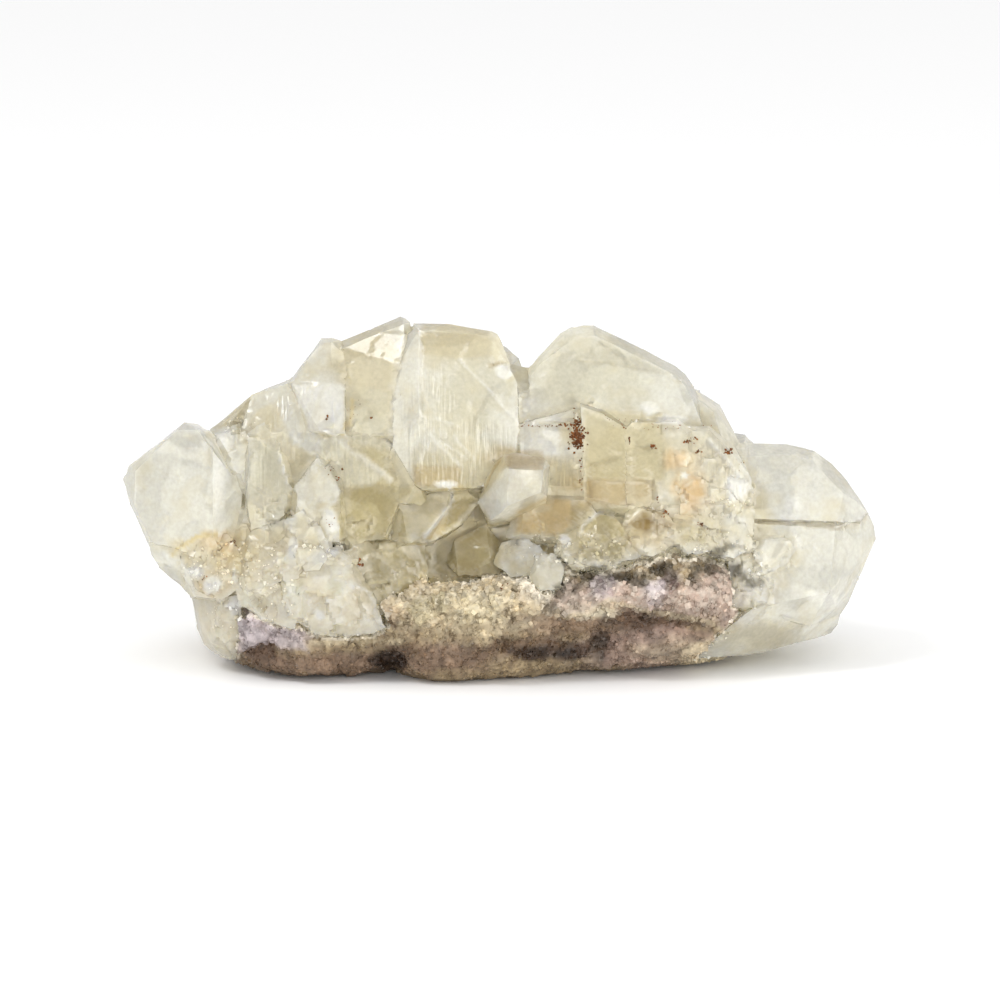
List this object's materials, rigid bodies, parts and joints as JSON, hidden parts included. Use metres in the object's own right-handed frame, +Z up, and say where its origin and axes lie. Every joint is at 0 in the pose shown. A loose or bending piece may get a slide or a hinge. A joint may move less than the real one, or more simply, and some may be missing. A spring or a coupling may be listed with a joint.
{
  "type": "fluorite cluster",
  "caption": "Cluster of pale, milky, see-through fluorite crystals grown together on a low purple and brown druzy matrix that it rests on",
  "frame": {"origin": "on the surface that the cluster rests on, under the middle of its bounding box", "axes": "+Z up, +X along the cluster's length to the viewer's right, -Y to the side that is looked at"},
  "size_m": [0.075, 0.0396, 0.035],
  "materials": {
    "clear_crystal": "milky see-through mineral with flat faces, part smooth and part etched",
    "matrix_stone": "sugary purple, cream and brown mineral crust with fine sparkling grains"
  },
  "bodies": {
    "root": {"clear_crystals": "clear_crystal", "druzy_matrix": "matrix_stone"}
  },
  "joints": []
}
